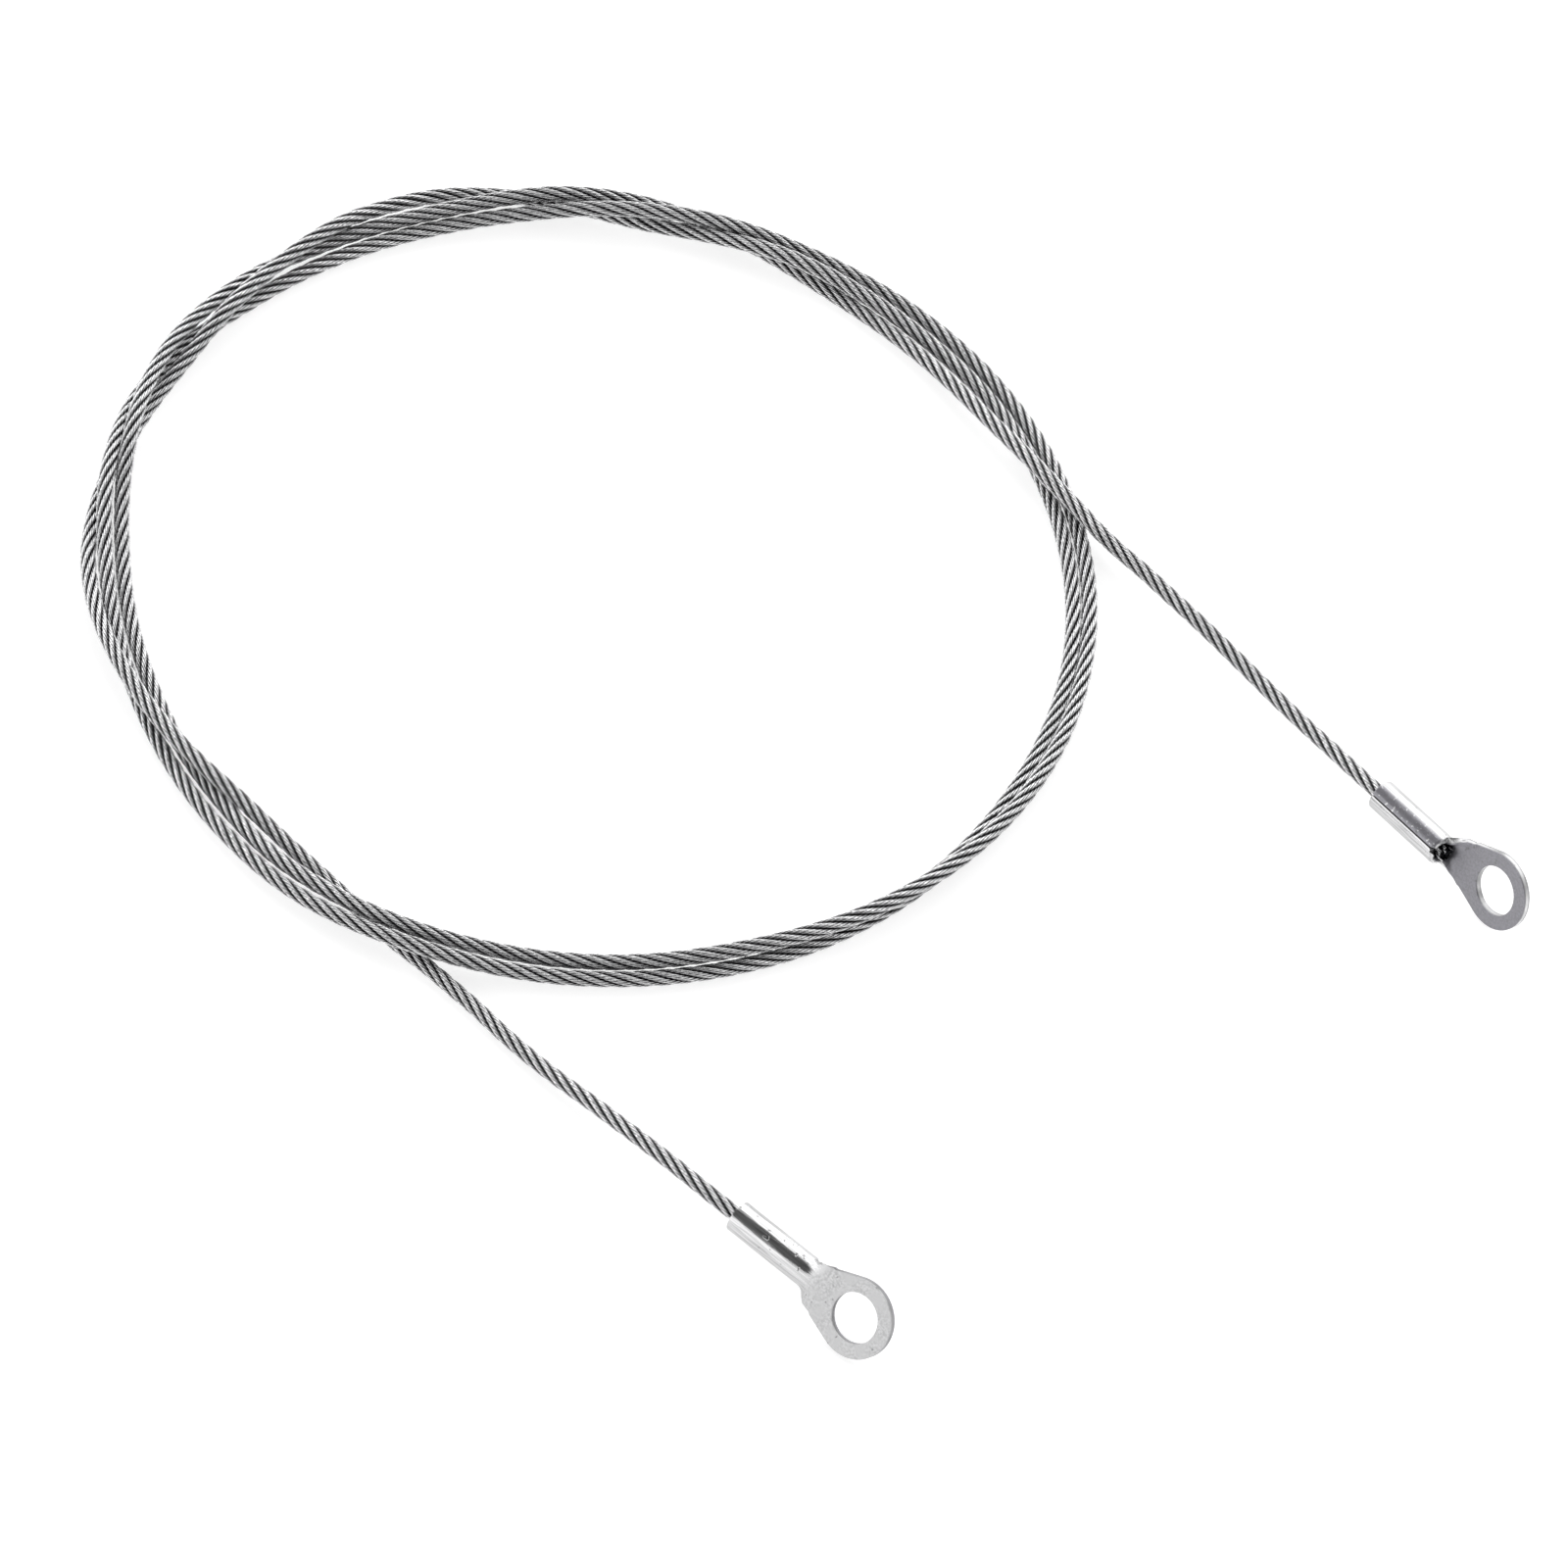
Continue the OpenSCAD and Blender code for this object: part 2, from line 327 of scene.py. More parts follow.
def add_node(tree, kind, inputs=None, **settings):
    """A new node with its settings, and with each input linked to a socket or set to a value."""
    node = tree.nodes.new(kind)
    for name, value in settings.items():
        setattr(node, name, value)
    for key, value in (inputs or {}).items():
        if isinstance(value, bpy.types.NodeSocket):
            tree.links.new(value, node.inputs[key])
        else:
            node.inputs[key].default_value = value
    return node


def maths(tree, operation, *values):
    return add_node(tree, "ShaderNodeMath", dict(enumerate(values)), operation=operation).outputs[0]


def vectors(tree, operation, *values):
    node = add_node(tree, "ShaderNodeVectorMath", dict(enumerate(values)), operation=operation)
    return node.outputs["Value" if operation in ("LENGTH", "DOT_PRODUCT") else "Vector"]


def scaled(tree, vector, factor):
    node = add_node(tree, "ShaderNodeVectorMath", {0: vector, "Scale": factor}, operation="SCALE")
    return node.outputs["Vector"]


def group_inputs(tree, *sockets):
    """Names a tree's inputs, each given as (name, socket type, default)."""
    for name, kind, default in sockets:
        socket = tree.interface.new_socket(name, in_out="INPUT", socket_type=kind)
        if default is not None:
            socket.default_value = default
    return tree.nodes.new("NodeGroupInput").outputs


def lay_tree():
    """Node group that lays a curve round its own line as a helix. A negative lay is left-handed."""
    tree = bpy.data.node_groups.new("Lay Round A Core", "GeometryNodeTree")
    given = group_inputs(
        tree,
        ("Curve", "NodeSocketGeometry", None), ("Radius", "NodeSocketFloat", 0.7 * MM),
        ("Lay", "NodeSocketFloat", 15.6 * MM), ("Phase", "NodeSocketFloat", 0.0))
    tree.interface.new_socket("Curve", in_out="OUTPUT", socket_type="NodeSocketGeometry")
    along = add_node(tree, "GeometryNodeSplineParameter").outputs["Length"]
    turns = maths(tree, "DIVIDE", along, given["Lay"])
    angle = maths(tree, "MULTIPLY_ADD", turns, TAU, given["Phase"])
    normal = add_node(tree, "GeometryNodeInputNormal").outputs["Normal"]
    tangent = add_node(tree, "GeometryNodeInputTangent").outputs["Tangent"]
    side = vectors(tree, "CROSS_PRODUCT", tangent, normal)
    out = vectors(
        tree, "ADD", scaled(tree, normal, maths(tree, "COSINE", angle)),
        scaled(tree, side, maths(tree, "SINE", angle)))
    moved = add_node(tree, "GeometryNodeSetPosition",
                     {"Geometry": given["Curve"], "Offset": scaled(tree, out, given["Radius"])})
    add_node(tree, "NodeGroupOutput", {0: moved.outputs[0]})
    return tree


def strand_tree():
    """Turns a route into one strand: a centre wire and six wires laid round it."""
    lay = lay_tree()
    tree = bpy.data.node_groups.new("Rope Strand", "GeometryNodeTree")
    given = group_inputs(
        tree,
        ("Route", "NodeSocketGeometry", None), ("Strand radius", "NodeSocketFloat", 0.0),
        ("Strand lay", "NodeSocketFloat", 15.6 * MM), ("Strand phase", "NodeSocketFloat", 0.0),
        ("Wire diameter", "NodeSocketFloat", 0.233 * MM), ("Wire lay", "NodeSocketFloat", -5.3 * MM),
        ("Wire sides", "NodeSocketInt", 6), ("Ring step", "NodeSocketFloat", 0.55 * MM),
        ("Rope radius", "NodeSocketFloat", 1.05 * MM), ("End scatter", "NodeSocketFloat", 0.7 * MM),
        ("Seed", "NodeSocketInt", 0), ("Material", "NodeSocketMaterial", None))
    tree.interface.new_socket("Strand", in_out="OUTPUT", socket_type="NodeSocketGeometry")

    curve = add_node(tree, "GeometryNodeMeshToCurve", {0: given["Route"]}).outputs[0]
    rings = add_node(tree, "GeometryNodeResampleCurve", {"Curve": curve, "Length": given["Ring step"]},
                     mode="LENGTH").outputs[0]
    level = add_node(tree, "GeometryNodeSetCurveNormal", {0: rings}, mode="Z_UP").outputs[0]
    place = add_node(tree, "GeometryNodeInputPosition").outputs[0]
    marked = add_node(tree, "GeometryNodeStoreNamedAttribute",
                      {"Geometry": level, "Name": "rope_axis", "Value": place},
                      data_type="FLOAT_VECTOR", domain="POINT").outputs[0]
    strand = add_node(tree, "GeometryNodeGroup", node_tree=lay)
    for name, source in (("Curve", marked), ("Radius", given["Strand radius"]),
                         ("Lay", given["Strand lay"]), ("Phase", given["Strand phase"])):
        tree.links.new(source, strand.inputs[name])

    copies = add_node(tree, "GeometryNodeDuplicateElements",
                      {"Geometry": strand.outputs[0], "Amount": LAID_ROUND}, domain="SPLINE")
    phase = maths(tree, "MULTIPLY", copies.outputs["Duplicate Index"], TAU / LAID_ROUND)
    wires = add_node(tree, "GeometryNodeGroup", node_tree=lay)
    for name, source in (("Curve", copies.outputs["Geometry"]), ("Radius", given["Wire diameter"]),
                         ("Lay", given["Wire lay"]), ("Phase", phase)):
        tree.links.new(source, wires.inputs[name])
    all_wires = tree.nodes.new("GeometryNodeJoinGeometry")
    tree.links.new(wires.outputs[0], all_wires.inputs[0])
    tree.links.new(strand.outputs[0], all_wires.inputs[0])

    cut = []
    for offset in (0, 1):
        seed = maths(tree, "MULTIPLY_ADD", given["Seed"], 2.0, float(offset))
        cut.append(add_node(tree, "FunctionNodeRandomValue",
                            {"Max": given["End scatter"], "Seed": seed}, data_type="FLOAT").outputs["Value"])
    whole = add_node(tree, "GeometryNodeSplineLength").outputs["Length"]
    trimmed = add_node(tree, "GeometryNodeTrimCurve",
                       {"Curve": all_wires.outputs[0]}, mode="LENGTH")
    # Inputs 4 and 5 are the start and the end as lengths. Inputs 2 and 3 have the same names, as shares.
    tree.links.new(cut[0], trimmed.inputs[4])
    tree.links.new(maths(tree, "SUBTRACT", whole, cut[1]), trimmed.inputs[5])

    section = add_node(tree, "GeometryNodeCurvePrimitiveCircle", {"Resolution": given["Wire sides"]},
                       mode="RADIUS")
    tree.links.new(maths(tree, "MULTIPLY", given["Wire diameter"], WIRE_FIT), section.inputs["Radius"])
    solid = add_node(tree, "GeometryNodeCurveToMesh",
                     {"Curve": trimmed.outputs[0], "Profile Curve": section.outputs[0],
                      "Fill Caps": True}).outputs[0]
    axis = add_node(tree, "GeometryNodeInputNamedAttribute", {"Name": "rope_axis"},
                    data_type="FLOAT_VECTOR").outputs[0]
    away = vectors(tree, "LENGTH", vectors(tree, "SUBTRACT", place, axis))
    shown = add_node(tree, "GeometryNodeStoreNamedAttribute",
                     {"Geometry": solid, "Name": "rope_depth",
                      "Value": maths(tree, "DIVIDE", away, given["Rope radius"])},
                     data_type="FLOAT", domain="POINT").outputs[0]
    tidy = add_node(tree, "GeometryNodeRemoveAttribute", {"Geometry": shown, "Name": "rope_axis"}).outputs[0]
    smooth = add_node(tree, "GeometryNodeSetShadeSmooth", {"Geometry": tidy}).outputs[0]
    real = add_node(tree, "GeometryNodeRealizeInstances", {0: smooth}).outputs[0]
    painted = add_node(tree, "GeometryNodeSetMaterial",
                       {"Geometry": real, "Material": given["Material"]}).outputs[0]
    add_node(tree, "NodeGroupOutput", {0: painted})
    return tree


def tree_output(name, source, tree, values):
    """Runs a geometry tree on a source mesh and returns the result as a plain mesh object."""
    worker = bpy.data.objects.new(name, source)
    bpy.context.collection.objects.link(worker)
    modifier = worker.modifiers.new("Build", "NODES")
    modifier.node_group = tree
    for socket in tree.interface.items_tree:
        if socket.in_out == "INPUT" and socket.name in values:
            modifier[socket.identifier] = values[socket.name]
    worker.data.update()
    graph = bpy.context.evaluated_depsgraph_get()
    mesh = bpy.data.meshes.new_from_object(worker.evaluated_get(graph), depsgraph=graph)
    worker.modifiers.remove(modifier)
    bpy.data.objects.remove(worker)
    mesh.name = name
    return link_piece(name, mesh)


def link_piece(name, mesh):
    piece = bpy.data.objects.new(name, mesh)
    bpy.context.collection.objects.link(piece)
    return piece


# ---------------------------------------------------------------- materials


def new_material(name):
    """A node material with a Principled shader, and its tree."""
    material = bpy.data.materials.new(name)
    material.use_nodes = True
    return material, material.node_tree, material.node_tree.nodes["Principled BSDF"]


def noise(tree, scale, detail=2.0, coordinates=None):
    """Noise on the coordinates, or else on object coordinates, with scale in features for each metre."""
    if coordinates is None:
        coordinates = add_node(tree, "ShaderNodeTexCoord").outputs["Object"]
    return add_node(tree, "ShaderNodeTexNoise",
                    {"Vector": coordinates, "Scale": scale, "Detail": detail}).outputs["Fac"]


def ranged(tree, value, low, high, to_low, to_high):
    """Value, with low to high spread over to_low to to_high, and held to that."""
    return add_node(tree, "ShaderNodeMapRange",
                    {"Value": value, "From Min": low, "From Max": high, "To Min": to_low,
                     "To Max": to_high}).outputs["Result"]


def colour_mix(tree, factor, first, second):
    """First where factor is 0, second where it is 1."""
    node = tree.nodes.new("ShaderNodeMix")
    node.data_type = "RGBA"
    for key, value in (("Factor_Float", factor), ("A_Color", first), ("B_Color", second)):
        socket = next(s for s in node.inputs if s.identifier == key)
        if isinstance(value, bpy.types.NodeSocket):
            tree.links.new(value, socket)
        elif key == "Factor_Float":
            socket.default_value = value
        else:
            socket.default_value = (*value, 1.0)
    return next(s for s in node.outputs if s.identifier == "Result_Color")


def attribute(tree, name):
    """Outputs of a node that reads what is stored on a piece's mesh under this name."""
    return add_node(tree, "ShaderNodeAttribute", attribute_name=name).outputs


def wire_material(rope):
    """Bright drawn steel wire, with painted shade where it lies deep between the strands."""
    material, tree, shader = new_material("bright_steel_wire")
    # 0 deep between the strands, where the wires take the painted shade colour, and 1 on the strands' crowns
    crown = ranged(tree, attribute(tree, "rope_depth")["Fac"], 0.76, 0.98, 0.0, 1.0)
    streak = ranged(tree, noise(tree, WIRE_STREAKS, 3.0), 0.3, 0.7, 0.0, 1.0)
    bright = colour_mix(tree, streak, [c * 0.5 for c in rope.steel], rope.steel)
    tree.links.new(colour_mix(tree, crown, rope.crevice_shade, bright), shader.inputs["Base Color"])
    tree.links.new(ranged(tree, noise(tree, WIRE_PATCHES), 0.3, 0.7, 0.1, 0.22), shader.inputs["Roughness"])
    shader.inputs["Metallic"].default_value = 1.0
    return material


def tin_material(eye, name, edge_colour):
    """Tin plating: bright and lined on the barrel, satin on the palm, dull on the inward face, with painted
    shade in the barrel's cavity and, on the front eye, on the cut edges.
    """
    material, tree, shader = new_material(name)
    at = attribute(tree, "sheet_at")["Vector"]
    inward = attribute(tree, "inward_face")["Fac"]
    flat = attribute(tree, "flat_part")["Fac"]
    dark = attribute(tree, "cavity")["Fac"]
    mottle = ranged(tree, noise(tree, TIN_MOTTLE, 4.0, at), 0.38, 0.62, 0.0, 1.0)
    patch = ranged(tree, noise(tree, TIN_PATCHES, 3.0, at), 0.38, 0.62, 0.0, 1.0)
    lines = noise(tree, TIN_LINES, 3.0, vectors(tree, "MULTIPLY", at, LINE_STRETCH))
    pits = ranged(tree, noise(tree, TIN_PITS, 1.0, at), 0.71, 0.75, 0.0, 1.0)
    specks = ranged(tree, noise(tree, TIN_SPECKS, 1.0, at), 0.64, 0.69, 0.0, 1.0)
    unrubbed = attribute(tree, "seam_band")["Fac"]

    barrel = colour_mix(tree, ranged(tree, lines, 0.38, 0.58, 0.0, 1.0),
                        [c * 0.72 for c in eye.polished], eye.polished)
    palm = colour_mix(tree, mottle, [c * 0.74 for c in eye.satin], eye.satin)
    palm = colour_mix(tree, patch, [c * 0.82 for c in eye.satin], palm)
    outer = colour_mix(tree, flat, barrel, palm)
    inner = colour_mix(tree, mottle, [c * 0.84 for c in eye.dull], eye.dull)
    speckled = colour_mix(tree, specks, inner, eye.polished)
    plate = colour_mix(tree, inward, colour_mix(tree, unrubbed, outer, speckled), inner)
    middle = maths(tree, "ABSOLUTE", maths(tree, "MULTIPLY_ADD", inward, 2.0, -1.0))
    cut = ranged(tree, middle, 0.35, 0.6, 1.0, 0.0)
    # Cut edges, streaked; for the front eye edge_colour is a painted shade
    shorn = colour_mix(tree, ranged(tree, noise(tree, SHEAR_STREAKS, 3.0, at), 0.34, 0.62, 0.0, 1.0),
                       [c * 0.3 for c in edge_colour], edge_colour)
    plate = colour_mix(tree, cut, plate, shorn)
    pitted = colour_mix(tree, maths(tree, "MULTIPLY", pits, 0.6), plate, [c * 0.3 for c in eye.satin])
    # Painted shade: near black on the inward face inside the barrel, round the rope's end
    tree.links.new(colour_mix(tree, dark, pitted, CAVITY_SHADE), shader.inputs["Base Color"])

    rough = ranged(tree, patch, 0.0, 1.0, 0.3, 0.42)
    rough = maths(tree, "MULTIPLY_ADD", flat, maths(tree, "SUBTRACT", rough, 0.16), 0.16)
    tree.links.new(rough, shader.inputs["Roughness"])
    dullness = maths(tree, "MAXIMUM", inward, unrubbed)
    tree.links.new(maths(tree, "MULTIPLY_ADD", dullness, -0.6, 1.0), shader.inputs["Metallic"])
    grain = add_node(tree, "ShaderNodeBump",
                     {"Strength": 0.3, "Distance": 0.02 * MM, "Height": noise(tree, TIN_GRAIN, 2.0, at)})
    lined = add_node(tree, "ShaderNodeBump",
                     {"Strength": 0.6, "Distance": 0.04 * MM, "Height": lines,
                      "Normal": grain.outputs["Normal"]})
    sunk = add_node(tree, "ShaderNodeBump",
                    {"Strength": 0.6, "Distance": -0.06 * MM, "Height": pits,
                     "Normal": lined.outputs["Normal"]})
    wave = add_node(tree, "ShaderNodeBump",
                    {"Strength": 0.5, "Distance": 0.05 * MM, "Height": noise(tree, TIN_WAVES, 1.0, at),
                     "Normal": sunk.outputs["Normal"]})
    tree.links.new(wave.outputs["Normal"], shader.inputs["Normal"])
    return material


# ---------------------------------------------------------------- the eyes


BARREL_ROWS = [k * 0.6 for k in range(1, 18)]  # where the barrel's straight rows lie, in mm from its mouth

# Rows from there to the neck of the ring, in mm: where the row crosses the middle of the flat blank, where it
# meets the edge, and the blank's half-width there
END_ROWS = (
    (10.75, 10.8, 4.967), (10.95, 11.05, 4.94), (11.1, 11.16, 4.85), (11.2, 11.2, 4.65),
    (11.3, 11.2, 4.3), (11.4, 11.2, 3.9), (11.5, 11.2, 3.5), (11.6, 11.22, 3.1),
    (11.7, 11.28, 2.75), (11.82, 11.4, 2.5), (12.0, 11.6, 2.36), (12.2, 11.85, 2.32),
    (12.45, 12.15, 2.36), (12.75, 12.5, 2.45), (13.15, 13.0, 2.65), (13.65, 13.6, 2.88),
    (14.15, 14.15, 3.08), (14.6, 14.6, 3.24),
)
HALF_COLUMNS = 24
EDGE_CROWDING = 0.25  # how much the columns crowd towards the edges, from 0 to 1
SIDE_POINTS = 9  # stretches of each straight side of the palm
RING_POINTS = 110  # stretches of the ring's round outline
PALM_SHARES = (0.09, 0.2, 0.4, 0.6, 0.8, 0.91, 1)  # loops, from the palm's outline at 0 to the hole at 1
RIM_SEGMENTS = 3
RIM_ANGLE = 55  # edges sharper than this are rounded, in degrees
PLACE_SLACK = 0.5  # how far a side of an eye may be from its CAD node's, in mm

# Places and sizes on the eye, in mm
MOUTH_ROW = 0.2  # from here on the blank has the barrel's full half-width
MOUTH_NIP = 0.06  # how much less it has at the mouth
UNROLL_FROM = 11.35  # from here on the sheet leaves the barrel's curve
UNROLL_TO = 14.0  # and from here on it is flat
NECK_HALF = 2.5  # the half-width down to which the seam's turn is felt
SEAM = 0.12  # the gap that is left between the two edges
SEAM_OFF = 0.5  # how far round from the middle of the barrel's top they meet
SEAM_BAND = 1.8  # width of the plating beside the seam that the dies didn't rub
SEAM_FADE = 0.25  # width over which that band ends
CAVITY_END = 13.1  # the painted shade reaches this far along the eye
CAVITY_FADE = 1.1  # and thins out over this length
CAVITY_HALF = 1.75  # its half-width across the eye
CAVITY_SIDE_FADE = 0.5  # and the width over which that thins out


def unrolled(x):
    """How flat the sheet is at x: 0 in the barrel and 1 in the palm."""
    share = held((x - UNROLL_FROM) / (UNROLL_TO - UNROLL_FROM))
    return share * share * (3 - 2 * share)


def bent(x, v, middle_r):
    """The blank's point at x, and v across, on the bent sheet, in mm. The barrel's axis is the X axis."""
    curve = (1 - unrolled(x)) / middle_r
    if curve < 1e-6:
        return Vector((x, v, -middle_r))
    return Vector((x, math.sin(curve * v) / curve, -middle_r + (1 - math.cos(curve * v)) / curve))


def column_share(j):
    """Column j as a share of the half-width, closer together towards the edges."""
    share = j / HALF_COLUMNS
    return math.sin(share * math.pi / 2) * EDGE_CROWDING + share * (1 - EDGE_CROWDING)


def eye_blank(eye):
    """Mid-surface of an eye as a bmesh, in mm on the eye's own axes."""
    middle_r = (eye.barrel_r - eye.sheet / 2) / MM
    reach, ring_r, hole_r = eye.reach / MM, eye.ring_r / MM, eye.hole_r / MM
    full = math.pi * middle_r - SEAM / 2
    rows = [(0.0, 0.0, full - MOUTH_NIP), (MOUTH_ROW, MOUTH_ROW, full)]
    rows += [(x, x, full) for x in BARREL_ROWS]
    rows += END_ROWS
    work = bmesh.new()
    columns = range(-HALF_COLUMNS, HALF_COLUMNS + 1)

    grid = []
    for middle, edge, half in rows:
        row = []
        for j in columns:
            share = column_share(j)
            x = middle + (edge - middle) * share * share
            skew = SEAM_OFF * held((half - NECK_HALF) / (full - NECK_HALF))
            row.append(work.verts.new(bent(x, half * share - skew * share * share, middle_r)))
        grid.append(row)
    for near, far in zip(grid, grid[1:]):
        for k in range(len(near) - 1):
            work.faces.new((near[k], far[k], far[k + 1], near[k + 1]))

    # The palm: rays from the hole out to the neck row, the straight sides and the ring
    neck_x, neck_half = rows[-1][1], rows[-1][2]
    run = reach - neck_x
    lean = math.asin(ring_r / math.hypot(run, neck_half)) - math.atan2(neck_half, run)
    tangent = (-ring_r * math.sin(lean), ring_r * math.cos(lean))
    side = [(-run + (tangent[0] + run) * k / SIDE_POINTS,
             neck_half + (tangent[1] - neck_half) * k / SIDE_POINTS) for k in range(1, SIDE_POINTS)]
    start = math.atan2(tangent[1], tangent[0])
    ring = [(ring_r * math.cos(start - 2 * start * k / RING_POINTS),
             ring_r * math.sin(start - 2 * start * k / RING_POINTS)) for k in range(RING_POINTS + 1)]
    outline = side + ring + [(x, -y) for x, y in reversed(side)]
    outer_xy = [(v.co.x - reach, v.co.y) for v in grid[-1]] + outline
    # Neck vertices run from -half to +half, and the outline goes on from +half round the ring to -half
    palm = [grid[-1] + [work.verts.new((reach + x, y, -middle_r)) for x, y in outline]]
    for share in PALM_SHARES:
        loop = []
        for x, y in outer_xy:
            length = math.hypot(x, y)
            r = length + (hole_r - length) * share
            loop.append(work.verts.new((reach + x / length * r, y / length * r, -middle_r)))
        palm.append(loop)
    for outer, inner in zip(palm, palm[1:]):
        count = len(outer)
        for k in range(count):
            n = (k + 1) % count
            work.faces.new((outer[k], inner[k], inner[n], outer[n]))
    bmesh.ops.recalc_face_normals(work, faces=work.faces)
    work.normal_update()
    if sum(f.normal.z for f in work.faces if f.calc_center_median().x > reach) < 0:
        bmesh.ops.reverse_faces(work, faces=work.faces)
    return work


def eye_mesh(name, eye, place, material):
    """An eye as a plain mesh in its place: the bent blank, given its thickness and its tumbled edges."""
    work = eye_blank(eye)
    bmesh.ops.scale(work, vec=(MM, MM, MM), verts=work.verts)
    surface = bpy.data.meshes.new(name + "_blank")
    work.to_mesh(surface)
    work.free()
    worker = link_piece(name + "_blank", surface)
    wall = worker.modifiers.new("Sheet", "SOLIDIFY")
    wall.thickness = eye.sheet
    wall.offset = 0.0
    wall.use_even_offset = False
    rim = worker.modifiers.new("Rim", "BEVEL")
    rim.width = eye.rim
    rim.segments = RIM_SEGMENTS
    rim.limit_method = "ANGLE"
    rim.angle_limit = math.radians(RIM_ANGLE)
    graph = bpy.context.evaluated_depsgraph_get()
    mesh = bpy.data.meshes.new_from_object(worker.evaluated_get(graph), depsgraph=graph)
    bpy.data.objects.remove(worker)
    mark_sheet(mesh, eye)
    mesh.transform(place)
    mesh.shade_smooth()
    mesh.materials.clear()
    mesh.materials.append(material)
    mesh.name = name
    return link_piece(name, mesh)


def mark_sheet(mesh, eye):
    """Stores on each point its place on the eye, and its share, 0 to 1, in each kind of surface."""
    middle_r = eye.barrel_r - eye.sheet / 2
    marks = {"inward_face": [], "flat_part": [], "cavity": [], "seam_band": []}
    seam_at = math.pi - SEAM_OFF * MM / middle_r
    places = []
    for vertex in mesh.vertices:
        x, y, z = vertex.co
        flat = unrolled(x / MM)
        radial = middle_r - math.hypot(y, z)
        upward = z + middle_r
        inward = held(0.5 + (radial * (1 - flat) + upward * flat) / eye.sheet)
        # Share of the painted shade in the barrel's cavity, on the inward face only
        cavity = held((CAVITY_END - x / MM) / CAVITY_FADE)
        cavity *= held((CAVITY_HALF - abs(y) / MM) / CAVITY_SIDE_FADE)
        beside = (seam_at - math.atan2(y, -z)) * eye.barrel_r / MM
        band = held((SEAM_BAND - beside) / SEAM_FADE + 0.5) if beside > 0 else 0
        marks["inward_face"].append(inward)
        marks["flat_part"].append(flat)
        marks["cavity"].append(cavity if inward > 0.9 else 0)
        marks["seam_band"].append(band * (1 - flat))
        places += (x, y, z)
    for name, values in marks.items():
        mesh.attributes.new(name, "FLOAT", "POINT").data.foreach_set("value", values)
    mesh.attributes.new("sheet_at", "FLOAT_VECTOR", "POINT").data.foreach_set("vector", places)


# ---------------------------------------------------------------- operators


class LANYARD_OT_stage(Operator):
    """Makes the camera, the pale floor and the soft light"""
    bl_idname = "lanyard.stage"
    bl_label = "Stage"

    def execute(self, context):
        settings = context.scene.lanyard_stage
        add_camera(context, settings)
        add_floor(settings)
        add_tent(context, settings)
        context.scene.view_settings.view_transform = "Standard"
        return {"FINISHED"}


def add_camera(context, settings):
    back = Vector((0, -math.cos(settings.elevation), math.sin(settings.elevation)))
    camera = bpy.data.objects.new("camera", bpy.data.cameras.new("camera"))
    camera.data.lens = settings.lens
    camera.data.sensor_width = 36
    camera.data.clip_start = 0.01
    camera.data.clip_end = 20
    camera.location = Vector(LOOK_AT) * MM + back * settings.distance
    camera.rotation_euler = (math.radians(90) - settings.elevation, 0, 0)
    context.collection.objects.link(camera)
    context.scene.camera = camera


def add_floor(settings):
    work = bmesh.new()
    bmesh.ops.create_grid(work, x_segments=1, y_segments=1, size=3)
    mesh = bpy.data.meshes.new("floor")
    work.to_mesh(mesh)
    work.free()
    floor = link_piece("floor", mesh)
    material, tree, shader = new_material("pale_floor")
    shade = colour_mix(tree, noise(tree, FLOOR_CLOUDS), [c * 0.985 for c in settings.floor], settings.floor)
    tree.links.new(shade, shader.inputs["Base Color"])
    shader.inputs["Roughness"].default_value = 0.8
    shader.inputs["Specular IOR Level"].default_value = 0.1
    shader.inputs["Emission Color"].default_value = (1, 1, 1, 1)
    shader.inputs["Emission Strength"].default_value = settings.glow
    mesh.materials.append(material)


def add_tent(context, settings):
    """A white light tent, brightest at the back, with dark openings, as the world's light."""
    world = bpy.data.worlds.new("light_tent")
    world.use_nodes = True
    tree = world.node_tree
    way = add_node(tree, "ShaderNodeTexCoord").outputs["Generated"]
    aim = vectors(tree, "DOT_PRODUCT", way, (0.0, 1.0, 0.0))
    light = ranged(tree, aim, -0.6, 0.6, settings.tent * 0.85, settings.tent * 1.25)
    for towards, dark, white in OPENINGS:
        aim = vectors(tree, "DOT_PRODUCT", way, Vector(towards).normalized()[:])
        share = ranged(tree, aim, math.cos(math.radians(white)), math.cos(math.radians(dark)), 1.0, 0.0)
        light = maths(tree, "MULTIPLY", light, share)
    tree.links.new(maths(tree, "ADD", light, settings.gap), tree.nodes["Background"].inputs["Strength"])
    tree.nodes["Background"].inputs["Color"].default_value = (1, 1, 1, 1)
    context.scene.world = world


class LANYARD_OT_rope(Operator):
    """Lays the seven strands of the wire rope along its route"""
    bl_idname = "lanyard.rope"
    bl_label = "Wire rope"

    def execute(self, context):
        rope, eye = context.scene.lanyard_rope, context.scene.lanyard_eye
        route = rope_route(rope, eye)
        line = bpy.data.meshes.new("route")
        line.from_pydata(route, [(i, i + 1) for i in range(len(route) - 1)], [])
        tree = strand_tree()
        values = {
            "Strand lay": rope.strand_lay, "Wire diameter": rope.diameter / WIRES_ACROSS,
            "Wire lay": -rope.wire_lay, "Wire sides": rope.wire_sides, "Ring step": rope.ring_step,
            "Rope radius": rope.diameter / 2, "End scatter": rope.end_scatter,
            "Material": wire_material(rope),
        }
        for number in range(LAID_ROUND + 1):
            name = "rope_strand_%d" % number if number else "rope_core_strand"
            values["Strand radius"] = rope.diameter / STRANDS_ACROSS if number else 0.0
            values["Strand phase"] = TAU * number / LAID_ROUND
            values["Seed"] = number
            strand = tree_output(name, line.copy(), tree, values)
            if not strand.data.polygons:
                raise RuntimeError("the strand tree gave no mesh for " + name)
            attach(strand, "root")
            end = "strand_%d" % number if number else "core_strand"
            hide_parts("front_" + end, "rear_" + end)
        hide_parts("front_rope_leg", "rope_coil", "rear_rope_leg")
        return {"FINISHED"}


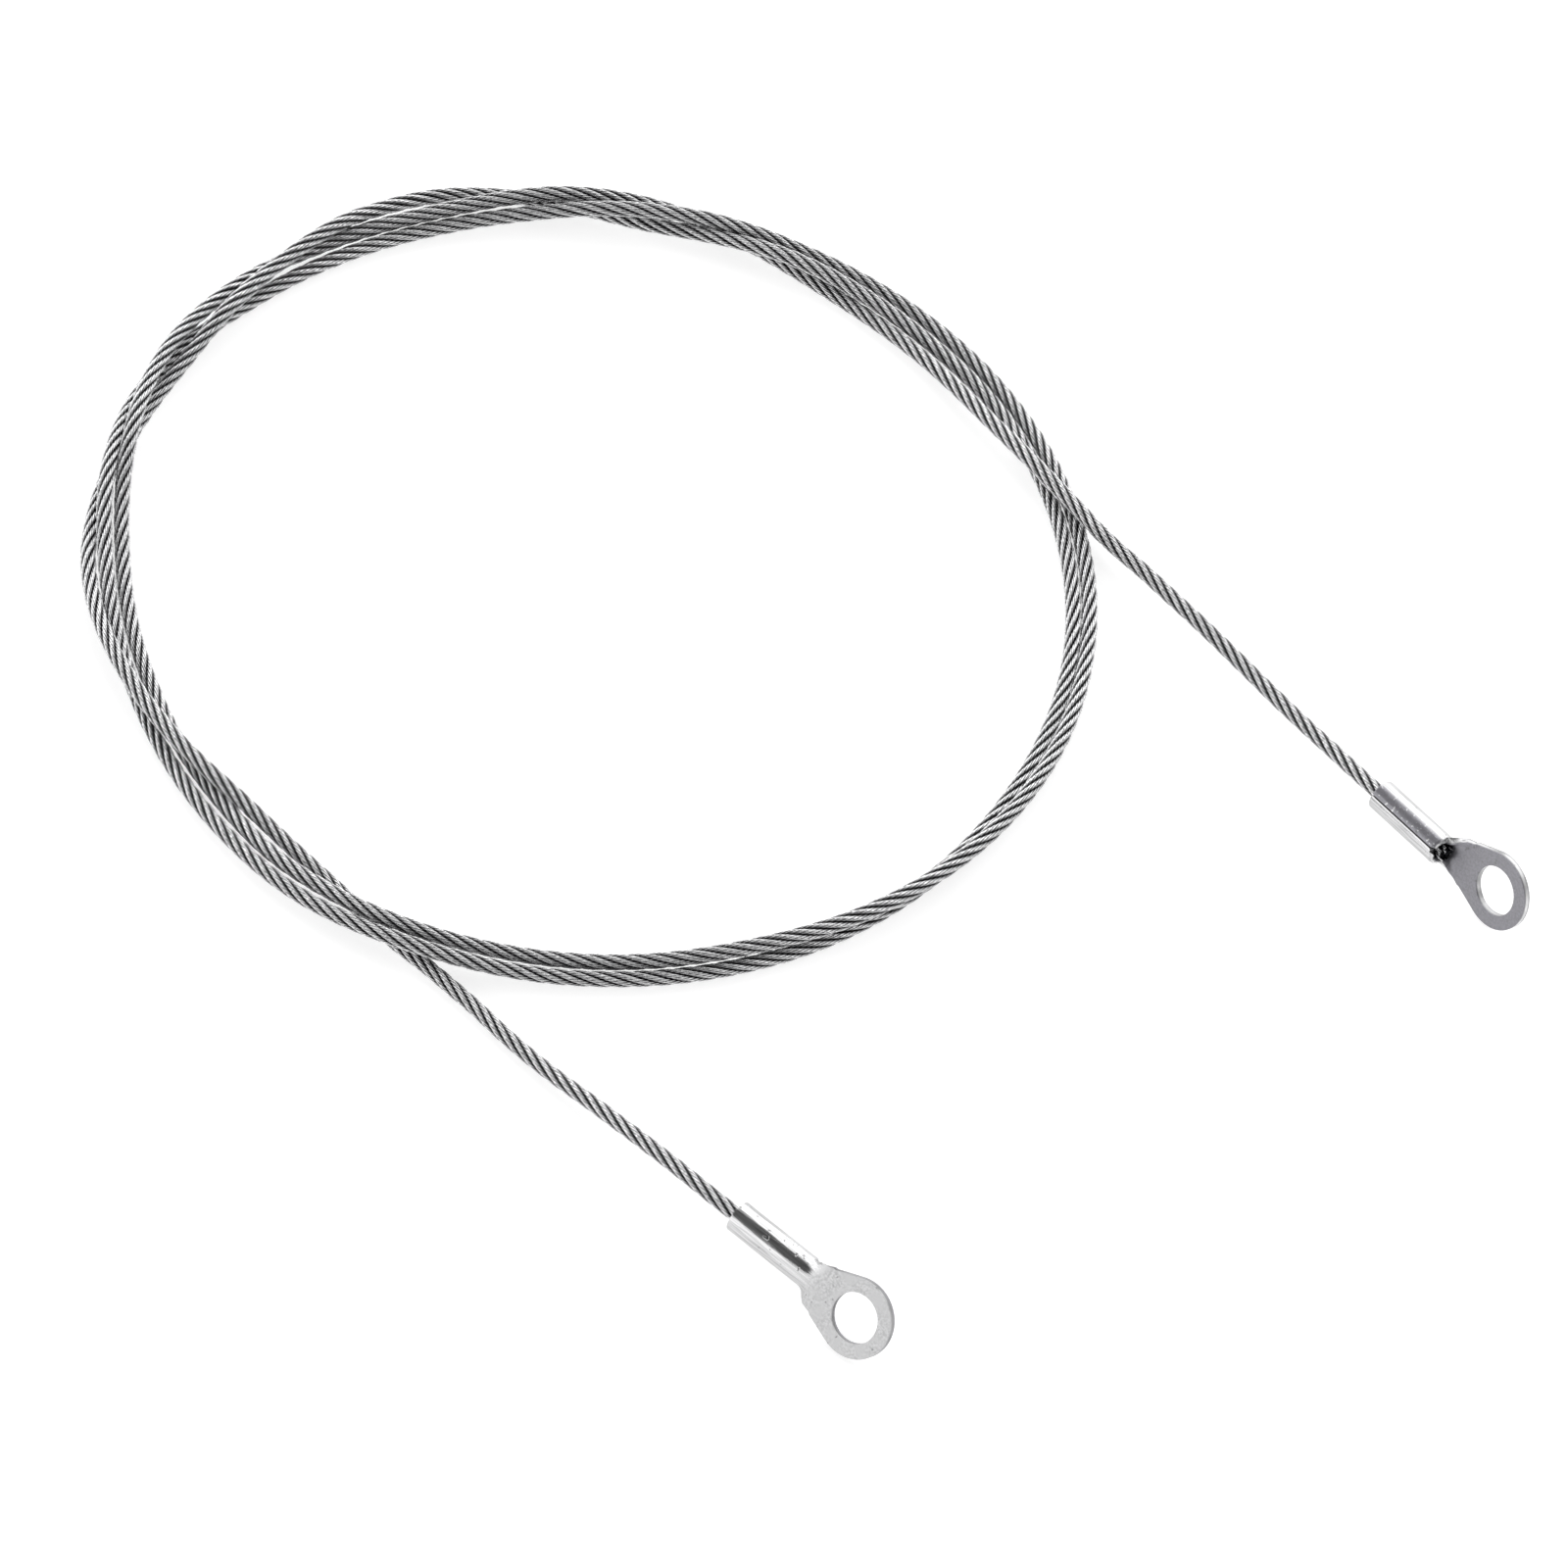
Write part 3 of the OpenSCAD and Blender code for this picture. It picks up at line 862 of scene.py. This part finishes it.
class LANYARD_OT_eyes(Operator):
    """Bends up the two ring eyes and crimps them on the rope's ends"""
    bl_idname = "lanyard.eyes"
    bl_label = "Ring eyes"

    def execute(self, context):
        eye = context.scene.lanyard_eye
        # The front eye's cut edges get the painted shade colour, the rear eye's their sheared colour
        for side, edge_colour in (("front", eye.painted_edge_shade), ("rear", eye.sheared)):
            material = tin_material(eye, side + "_tin_plate", edge_colour)
            piece = eye_mesh(side + "_ring_eye", eye, eye_place(side, eye), material)
            check_place(piece, side + "_eye")
            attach(piece, "root")
            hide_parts(side + "_eye")
        return {"FINISHED"}


def check_place(piece, node):
    """Stops the script if a piece isn't where its CAD node is."""
    low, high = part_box(node)
    for axis in range(3):
        places = [v.co[axis] for v in piece.data.vertices]
        off = max(abs(min(places) - low[axis]), abs(max(places) - high[axis]))
        if off > PLACE_SLACK * MM:
            raise RuntimeError("%s isn't where %s is" % (piece.name, node))


class LANYARD_PT_sidebar(Panel):
    bl_label = "Wire Rope Lanyard"
    bl_space_type = "VIEW_3D"
    bl_region_type = "UI"
    bl_category = "Lanyard"

    def draw(self, context):
        for operator, group in ((LANYARD_OT_stage, "lanyard_stage"), (LANYARD_OT_rope, "lanyard_rope"),
                                (LANYARD_OT_eyes, "lanyard_eye")):
            box = self.layout.box()
            box.operator(operator.bl_idname)
            settings = getattr(context.scene, group)
            for name in settings.__annotations__:
                box.prop(settings, name)


SETTINGS = {"lanyard_rope": RopeSettings, "lanyard_eye": EyeSettings, "lanyard_stage": StageSettings}
CLASSES = (*SETTINGS.values(), LANYARD_OT_stage, LANYARD_OT_rope, LANYARD_OT_eyes, LANYARD_PT_sidebar)


def register():
    for item in CLASSES:
        bpy.utils.register_class(item)
    for name, group in SETTINGS.items():
        setattr(bpy.types.Scene, name, PointerProperty(type=group))


def unregister():
    for name in SETTINGS:
        delattr(bpy.types.Scene, name)
    for item in reversed(CLASSES):
        bpy.utils.unregister_class(item)


def main():
    register()
    bpy.ops.lanyard.stage()
    bpy.ops.lanyard.rope()
    bpy.ops.lanyard.eyes()


if __name__ == "__main__":
    main()
